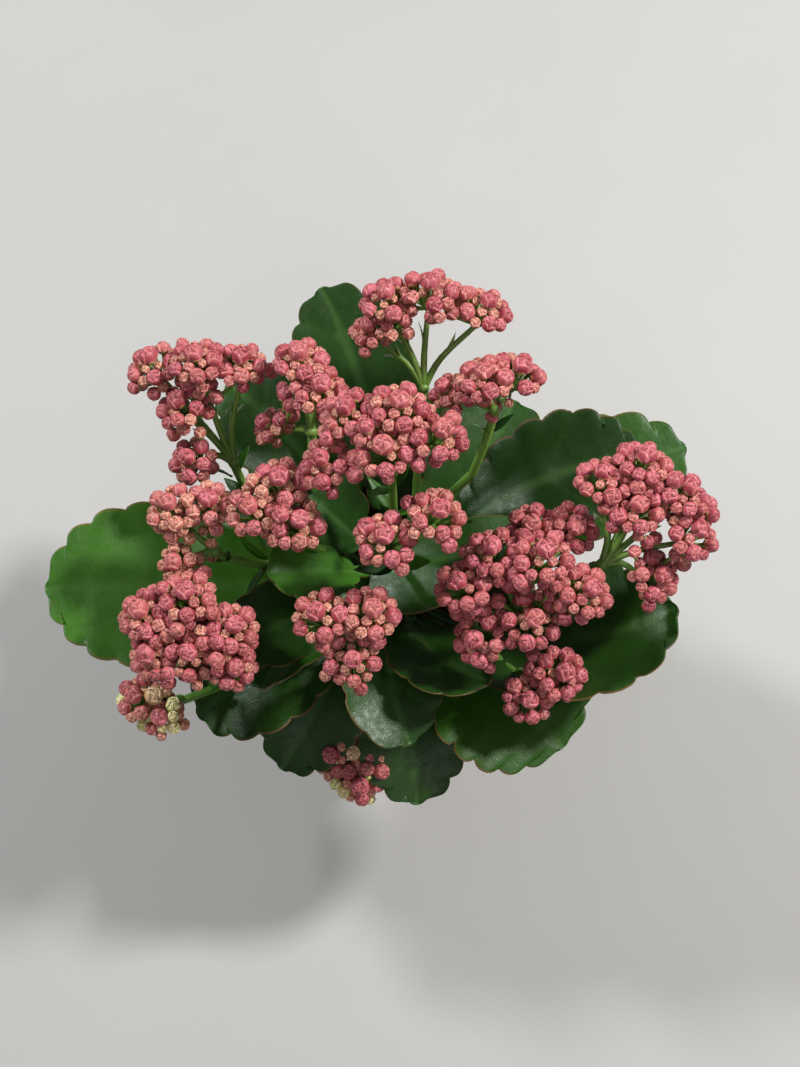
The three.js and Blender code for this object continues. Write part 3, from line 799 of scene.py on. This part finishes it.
def leaf_surface(surface, leaf, rng):
    """A fleshy blade with rounded scallops, sunken veins and wavy margins, on a channelled petiole."""
    lobes = leaf["lobes"]
    depths = {(side, i): SCALLOP_DEPTH * rng.uniform(0.7, 1.2)
              for side in (-1, 1) for i in range(2 * lobes + 1)}
    shifts = {side: rng.uniform(-0.12, 0.12) for side in (-1, 1)}
    phases = [rng.uniform(0, 2 * math.pi) for _ in range(4)]
    offset = Vector([rng.uniform(-50, 50) for _ in range(3)])
    foot, bend, tip = leaf["foot"], leaf["bend"], leaf["tip"]
    last = lobes - 1 / 6
    counts = [last * (1 - i / LEAF_ROWS) for i in range(LEAF_ROWS)] + [0.06, 0.012]
    petiole = [PETIOLE_SHARE * i / 9 for i in range(-1, 9)]
    rows = [(share, None) for share in petiole] + [(None, count) for count in counts]
    half_columns = LEAF_COLUMNS // 2
    across_values = [math.sin(math.pi / 2 * i / half_columns) for i in range(-half_columns, half_columns + 1)]
    loop = [(a, 1) for a in across_values] + [(a, -1) for a in reversed(across_values[1:-1])]
    points, colours = [], []
    for share, count in rows:
        for a, face in loop:
            side_sign = -1 if a < 0 else 1
            if count is None:
                middle = margin = share
                blade = lobe_wave = 0.0
                tip_taper = 1.0
                vein = math.exp(-(a / 0.35) ** 2)
                half = smooth_max(0.0, PETIOLE_HALF, PETIOLE_FLARE * (max(0.0, share) / PETIOLE_SHARE) ** 2)
                cup = 0.35 * half * a * a
            else:
                depth = depths[side_sign, min(2 * lobes, int(2 * count + 0.5))]
                # The visible blade has two scallops for each one of the CAD's.
                shifted = 2 * max(0.0, count + shifts[side_sign] * math.sin(math.pi * min(1.0, count / last)))
                angle = math.pi * (1 - count / last)
                scallop = 1 - depth * (1 - abs(math.cos(math.pi * shifted)) ** 0.55)
                middle = PETIOLE_SHARE + (1 - PETIOLE_SHARE) * (0.5 - 0.5 * math.cos(angle))
                margin = PETIOLE_SHARE + (1 - PETIOLE_SHARE) * (0.5 - 0.5 * math.cos(angle) * scallop)
                half_blade = leaf["half"] * max(0.0, math.sin(angle)) * (1 - 0.12 * math.cos(angle)) * scallop
                blade = min(1.0, half_blade / (6 * MM))
                along_vein = count - 0.75 * (1 - abs(a)) + 0.35
                nearest = abs(along_vein - round(along_vein))
                vein = max(math.exp(-(a * half_blade / MIDRIB_HALF) ** 2),
                           0.55 * math.exp(-(nearest / 0.07) ** 2) * min(1.0, 2.5 * (1 - abs(a))))
                lobe_wave = math.cos(2 * math.pi * shifted) * a * a
                tip_taper = min(1.0, (count / 0.25) ** 0.5)
                if count > 0.5 * last:
                    half = smooth_max(half_blade, PETIOLE_HALF * tip_taper, PETIOLE_FLARE * tip_taper)
                else:
                    half = max(half_blade, 0.05 * MM)
                cup = leaf["cup"] * half * a * a + leaf["curl"] * half * max(0.0, a) ** 2 * blade
            at = middle + (margin - middle) * a * a
            tangent = bezier_tangent(foot, bend, tip, max(0.0, middle))
            twist = 0.12 * math.sin(2.6 * middle + phases[0]) * blade
            side = Quaternion(tangent, leaf["roll"] + twist) @ level_side(tangent)
            normal = side.cross(tangent).normalized()
            if middle < 0:
                spine = foot + tangent * middle * (tip - foot).length
            else:
                spine = bezier(foot, bend, tip, at)
            long_wave = math.sin(7 * middle + phases[1] + side_sign) * a * a
            crumple = noise.noise(Vector((2.2 * middle, 0.9 * a, 0)) + offset) * abs(a)
            edge_wave = (0.3 * lobe_wave + 1.1 * long_wave + 1.4 * crumple) * MM * blade
            thick = (PETIOLE_THICK * (1 - blade) + BLADE_THICK * (1 - 0.25 * abs(a)) * blade) * tip_taper
            rounded = math.sqrt(max(0.0, 1 - abs(a) ** 5)) * thick / 2
            groove = 0.55 * MM * vein * (0.4 + 0.6 * blade) if face > 0 else -0.35 * MM * vein
            lift = face * rounded - groove * math.sqrt(max(0.0, 1 - a * a)) * tip_taper
            points.append(spine + side * a * half + normal * (cup + edge_wave + lift))
            colours.append((abs(a), 0.0 if face > 0 else 1.0, vein, leaf["tone"]))
    columns = len(loop)
    tip_index = len(points)
    start = tip_index - columns
    points.append(tip)
    colours.append((1.0, 0.5, 0.0, leaf["tone"]))
    faces = grid_faces(len(rows), columns, True)
    faces.append(tuple(reversed(range(columns))))
    faces.extend((start + i, start + (i + 1) % columns, tip_index) for i in range(columns))
    surface.add(points, faces, colours)


# ---- Stem, stalks, pot and soil ----
def smooth_copy(node, voxel, rounds):
    """The CAD node's mesh, closed again at a fine grain and smoothed."""
    source = add_object("source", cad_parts[node].data.copy())
    remesh = source.modifiers.new("remesh", "REMESH")
    remesh.mode = "VOXEL"
    remesh.voxel_size = voxel
    smooth = source.modifiers.new("smooth", "SMOOTH")
    smooth.iterations = rounds
    smooth.factor = 0.5
    evaluated = source.evaluated_get(bpy.context.evaluated_depsgraph_get())
    mesh = bpy.data.meshes.new_from_object(evaluated)
    scratch = source.data
    bpy.data.objects.remove(source)
    bpy.data.meshes.remove(scratch)
    return mesh


def add_plain_paint(mesh):
    layer = mesh.color_attributes.new("paint", "FLOAT_COLOR", "POINT")
    layer.data.foreach_set("color", np.tile(PLAIN, len(mesh.vertices)).astype(np.float32))


def stalk_path(node):
    """The stalk's lowest and highest point, and its run in x and y as curves fitted through its corners."""
    corners = np.array([tuple(v.co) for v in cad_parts[node].data.vertices])
    heights = corners[:, 2]
    low, high = heights.min(), heights.max()
    share = (heights - low) / (high - low)
    return low, high, [np.polyfit(share, corners[:, axis], 2) for axis in (0, 1)]


def stalk_point(path, share):
    low, high, curves = path
    return Vector((np.polyval(curves[0], share), np.polyval(curves[1], share), low + (high - low) * share))


def lathe(profile, sides):
    """Points of the (radius, height) profile turned about the Z axis."""
    return [(x, y, height) for radius, height in profile for x, y in circle(radius, sides)]


# ---- Heads ----
all_buds = []
head_parts = {}
for head in heads:
    rng = random.Random(f"{SEED} {head}")
    knuckle, cymes = read_head(head)
    own = []
    for cyme in cymes:
        own.extend(fill_cyme(cyme["hub"], cyme["buds"], rng))
    own.extend(fill_between(cymes, rng, MORE_BETWEEN_BUDS.get(head, ())))
    head_parts[head] = (knuckle, [cyme["hub"] for cyme in cymes], own)
    all_buds.extend(own)
settle(all_buds)

shape_rng = random.Random(SEED)
large_shapes = [bud_shape(shape_rng, petals, False) for petals in LARGE_PETALS]
small_shapes = [bud_shape(shape_rng, petals, True) for petals in SMALL_PETALS]
bud_paint = bud_material()
stem_paint = stem_material()
for head in heads:
    rng = random.Random(f"{SEED} buds {head}")
    knuckle, hubs, own = head_parts[head]
    buds = Surface()
    branches = Surface()
    centre = sum(hubs, Vector()) / len(hubs)
    for hub in hubs:
        bow = (hub - knuckle).length * 0.06 * UP
        middle = ((knuckle + hub) / 2 - bow).lerp(knuckle.lerp(centre, 0.5), 0.3)
        path = curve_points([knuckle, middle, hub], 9)
        tube(branches, path, np.linspace(1.5, 1.0, 9) * MM, 10, PLAIN)
        if (hub - knuckle).length > LONG_BRANCH:
            along = (hub - middle).normalized()
            outward = (hub - centre - along * (hub - centre).dot(along)).normalized()
            for side in (outward, -outward):
                if rng.random() < 0.8:
                    bract(branches, path[5] + side * 0.6 * MM, side * rng.uniform(0.35, 0.7) + along, along,
                          rng.uniform(6, 9) * MM, rng.uniform(3.0, 3.8) * MM, PLAIN)
        tube(branches, [hub - 0.9 * MM * UP, hub + 0.9 * MM * UP], [1.25 * MM, 1.35 * MM], 10, PLAIN)
    swell = 1.2 * MM * UP
    tube(branches, [knuckle - swell, knuckle, knuckle + swell], [2.0 * MM, 2.4 * MM, 2.0 * MM], 12, PLAIN)
    for bud in own:
        small = bud["radius"] < SMALL_BUD
        direction = ((bud["centre"] - bud["hub"]).normalized() + 0.35 * bud["axis"]).normalized()
        ripeness = (bud["radius"] / MM - 1.5) / 1.4 + rng.uniform(-0.25, 0.25) + RIPER_HEADS.get(head, 0.0)
        ripeness = min(1.0, max(0.0, ripeness))
        if rng.random() < CREAM_SHARES.get(head, 0.0):
            ripeness = rng.uniform(-1.0, -0.4)
        shape = rng.choice(small_shapes if small else large_shapes)
        place_bud(buds, shape, bud["centre"], bud["radius"], direction, rng, ripeness)
        foot = bud["centre"] - direction * bud["radius"] * 0.9
        knee = bud["hub"].lerp(foot, 0.6) - 0.08 * (foot - bud["hub"]).length * direction
        path = curve_points([bud["hub"], knee, foot], 4)
        tube(branches, path, np.array([0.62, 0.6, 0.7, 0.95]) * MM * (0.8 if small else 1.0), 7, PLAIN)
    buds.piece(head + "_buds", bud_paint, "flower_bud", head)
    branches.piece(head + "_branches", stem_paint, "stem", head)

# ---- Leaves ----
leaf_paint = leaf_material()
for node in leaves:
    surface = Surface()
    leaf = read_leaf(node)
    # The leaf's painted light and shade, carried in the fourth paint channel.
    leaf["tone"] = LEAF_PAINTED_LIGHT_SHADE.get(node, DEFAULT_LEAF_PAINTED_LIGHT)
    leaf["curl"] = CURLED_LEAVES.get(node, 0.0)
    leaf_surface(surface, leaf, random.Random(f"{SEED} {node}"))
    surface.piece(node + "_blade", leaf_paint, "leaf", node)

# ---- Stem and stalks ----
trunk = smooth_copy("stem", 0.55 * MM, 6)
add_plain_paint(trunk)
finish_piece("stem_skin", trunk, stem_paint, "stem", "stem")
for node in stalks:
    rng = random.Random(f"{SEED} {node}")
    skin = smooth_copy(node, 0.5 * MM, 6)
    add_plain_paint(skin)
    finish_piece(node + "_skin", skin, stem_paint, "stem", node)
    path = stalk_path(node)
    bracts = Surface()
    turn = rng.uniform(0, 2 * math.pi)
    for share, size in STALK_BRACTS:
        if rng.random() < 0.2:
            continue
        base = stalk_point(path, share)
        along = (stalk_point(path, share + 0.05) - base).normalized()
        for half_turn in (0, math.pi):
            side = Quaternion(along, turn + half_turn) @ along.orthogonal().normalized()
            direction = side + along * rng.uniform(0.5, 1.0)
            length = rng.uniform(11, 16) * size * MM
            bract(bracts, base + side * 1.2 * MM, direction, along, length, length * 0.34,
                  (0.4, 0.0, 0.2, rng.random()))
        turn += math.pi / 2
    if bracts.count:
        bracts.piece(node + "_bracts", leaf_paint, "leaf", node)

# ---- Pot ----
pot_mesh = merged("pot")
rim_radius = max(v.co.xy.length for v in pot_mesh.verts)
base_radius = max(v.co.xy.length for v in pot_mesh.verts if v.co.z < 0.1 * MM)
pot_mesh.free()
pot_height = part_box("pot")[1][2]
band = pot_height - RIM_HEIGHT
foot_ring = base_radius - 3 * MM
waist = rim_radius - RIM_STEP
profile = [
    (0.2 * MM, 1.6 * MM), (foot_ring - 4 * MM, 1.6 * MM), (foot_ring - 1.5 * MM, 0.9 * MM),
    (foot_ring, 0.15 * MM), (foot_ring + 0.8 * MM, 0), (base_radius - 0.9 * MM, 0),
    (base_radius - 0.2 * MM, 0.25 * MM), (base_radius, 1.0 * MM)]
profile += [(base_radius + (waist - base_radius) * t, 1.0 * MM + (band - 1.0 * MM) * t)
            for t in (0.1, 0.3, 0.5, 0.7, 0.9, 0.985)]
profile += [
    (waist + 0.1 * MM, band - 0.1 * MM), (rim_radius - 0.5 * MM, band),
    (rim_radius - 0.1 * MM, band + 0.2 * MM), (rim_radius, band + 0.8 * MM),
    (rim_radius, pot_height - 3.2 * MM), (rim_radius + 0.35 * MM, pot_height - 2.4 * MM),
    (rim_radius + 0.4 * MM, pot_height - 1.0 * MM), (rim_radius + 0.1 * MM, pot_height - 0.25 * MM),
    (rim_radius - 0.7 * MM, pot_height), (rim_radius - POT_WALL + 0.3 * MM, pot_height - 0.1 * MM),
    (rim_radius - POT_WALL, pot_height - 0.7 * MM), (rim_radius - POT_WALL, band + POT_WALL),
    (waist - POT_WALL, band), (base_radius - POT_WALL, 3.6 * MM),
    (base_radius - 3 * MM, 3.4 * MM), (0.2 * MM, 3.4 * MM)]
shell = Surface()
points = lathe(profile, POT_SIDES)
shell.add(points, closed_faces(len(profile), POT_SIDES), [PLAIN] * len(points))
pot_object = shell.piece("pot_shell", pot_material(), "pot", "pot")
cutters = Surface()
for i in range(DRAIN_COUNT):
    angle = 2 * math.pi * (i + 0.25) / DRAIN_COUNT
    ring = circle(DRAIN_RADIUS, DRAIN_SIDES, DRAIN_CIRCLE * math.cos(angle), DRAIN_CIRCLE * math.sin(angle))
    hole = [(x, y, height) for height in (-2 * MM, 6 * MM) for x, y in ring]
    cutters.add(hole, closed_faces(2, DRAIN_SIDES), [PLAIN] * len(hole))
cutter_mesh = bpy.data.meshes.new("holes")
cutter_mesh.from_pydata(np.concatenate(cutters.points).tolist(), [], cutters.faces)
cutter = add_object("holes", cutter_mesh)
boolean = pot_object.modifiers.new("holes", "BOOLEAN")
boolean.object = cutter
boolean.operation = "DIFFERENCE"
boolean.solver = "EXACT"
drained = bpy.data.meshes.new_from_object(pot_object.evaluated_get(bpy.context.evaluated_depsgraph_get()))
pot_object.modifiers.clear()
pot_object.data = drained
bpy.data.objects.remove(cutter)
with_edges = bmesh.new()
with_edges.from_mesh(drained)
for edge in with_edges.edges:
    edge.smooth = len(edge.link_faces) != 2 or edge.calc_face_angle() < SHARP_ANGLE
with_edges.to_mesh(drained)
with_edges.free()

# ---- Soil ----
soil_low, soil_high = (Vector(corner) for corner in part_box("soil"))
soil_radius = (soil_high.x - soil_low.x) / 2
soil_rng = random.Random(f"{SEED} soil")


def soil_height(x, y):
    """Height of the peat's lumpy surface."""
    radius = math.hypot(x, y)
    crown = soil_high.z - 2 * MM * (radius / soil_radius) ** 2
    lumps = noise.noise(Vector((x, y, 0)) / (9 * MM)) * 0.9
    clods = noise.noise(Vector((x, y, 3)) / (2.6 * MM)) * 0.8
    grit = noise.noise(Vector((x, y, 9)) / (1.1 * MM)) * 0.35
    return crown + (lumps + clods + grit) * MM - 0.5 * MM


radii = np.linspace(PEAT_BORE, soil_radius - 0.2 * MM, PEAT_RINGS)
points = [(x, y, soil_height(x, y)) for radius in radii for x, y in circle(radius, PEAT_SIDES)]
edge_radius = soil_radius - 0.3 * MM
edge_height = soil_high.z - 4 * MM
low_radius = base_radius - POT_WALL - 0.4 * MM
low_height = soil_low.z + 0.3 * MM
under = [(edge_radius + (low_radius - edge_radius) * t, edge_height + (low_height - edge_height) * t)
         for t in (0.15, 0.5, 1.0)]
points += lathe([*under, (PEAT_BORE, low_height)], PEAT_SIDES)
ring_count = len(points) // PEAT_SIDES
faces = grid_faces(ring_count, PEAT_SIDES, True)
last = (ring_count - 1) * PEAT_SIDES
faces.extend((last + k, last + (k + 1) % PEAT_SIDES, (k + 1) % PEAT_SIDES, k) for k in range(PEAT_SIDES))
peat_paint = peat_material()
peat = Surface()
peat.add(points, [tuple(reversed(face)) for face in faces], [PLAIN] * len(points))
peat.piece("soil_peat", peat_paint, "soil", "soil")


def crumb(surface, centre, radius, rng):
    """A rough lump with flattened faces."""
    ball = bmesh.new()
    bmesh.ops.create_icosphere(ball, subdivisions=2, radius=1.0)
    offset = Vector([rng.uniform(-50, 50) for _ in range(3)])
    stretch = [rng.uniform(0.65, 1.2) for _ in range(3)]
    turn = Quaternion(Vector([rng.uniform(-1, 1) for _ in range(3)]).normalized(), rng.uniform(0, 6.28))
    shaped = []
    for corner in ball.verts:
        place = corner.co * (1 + 0.4 * noise.noise(corner.co * 1.3 + offset))
        shaped.append(centre + turn @ Vector([c * k for c, k in zip(place, stretch)]) * radius)
    faces = [tuple(v.index for v in face.verts) for face in ball.faces]
    surface.add(shaped, faces, [PLAIN] * len(shaped))
    ball.free()


for name, material, count, smallest, largest in (
        ("soil_crumbs", peat_paint, 420, 0.5, 1.7), ("soil_perlite", perlite_material(), 70, 0.6, 1.5)):
    lumps = Surface()
    for _ in range(count):
        reach = math.sqrt(soil_rng.uniform(0.03, 0.93)) * soil_radius
        angle = soil_rng.uniform(0, 2 * math.pi)
        x, y = reach * math.cos(angle), reach * math.sin(angle)
        radius = soil_rng.uniform(smallest, largest) * MM
        crumb(lumps, Vector((x, y, soil_height(x, y) + 0.25 * radius)), radius, soil_rng)
    lumps.piece(name, material, "soil", "soil")

# ---- Studio ----
set_camera()
set_lights()
floor = add_object("floor", bpy.data.meshes.new("floor"))
floor_corners = [(x * FLOOR_REACH, y * FLOOR_REACH, 0) for x, y in ((-1, -1), (1, -1), (1, 1), (-1, 1))]
floor.data.from_pydata(floor_corners, [], [(0, 1, 2, 3)])
floor.data.materials.append(floor_material())
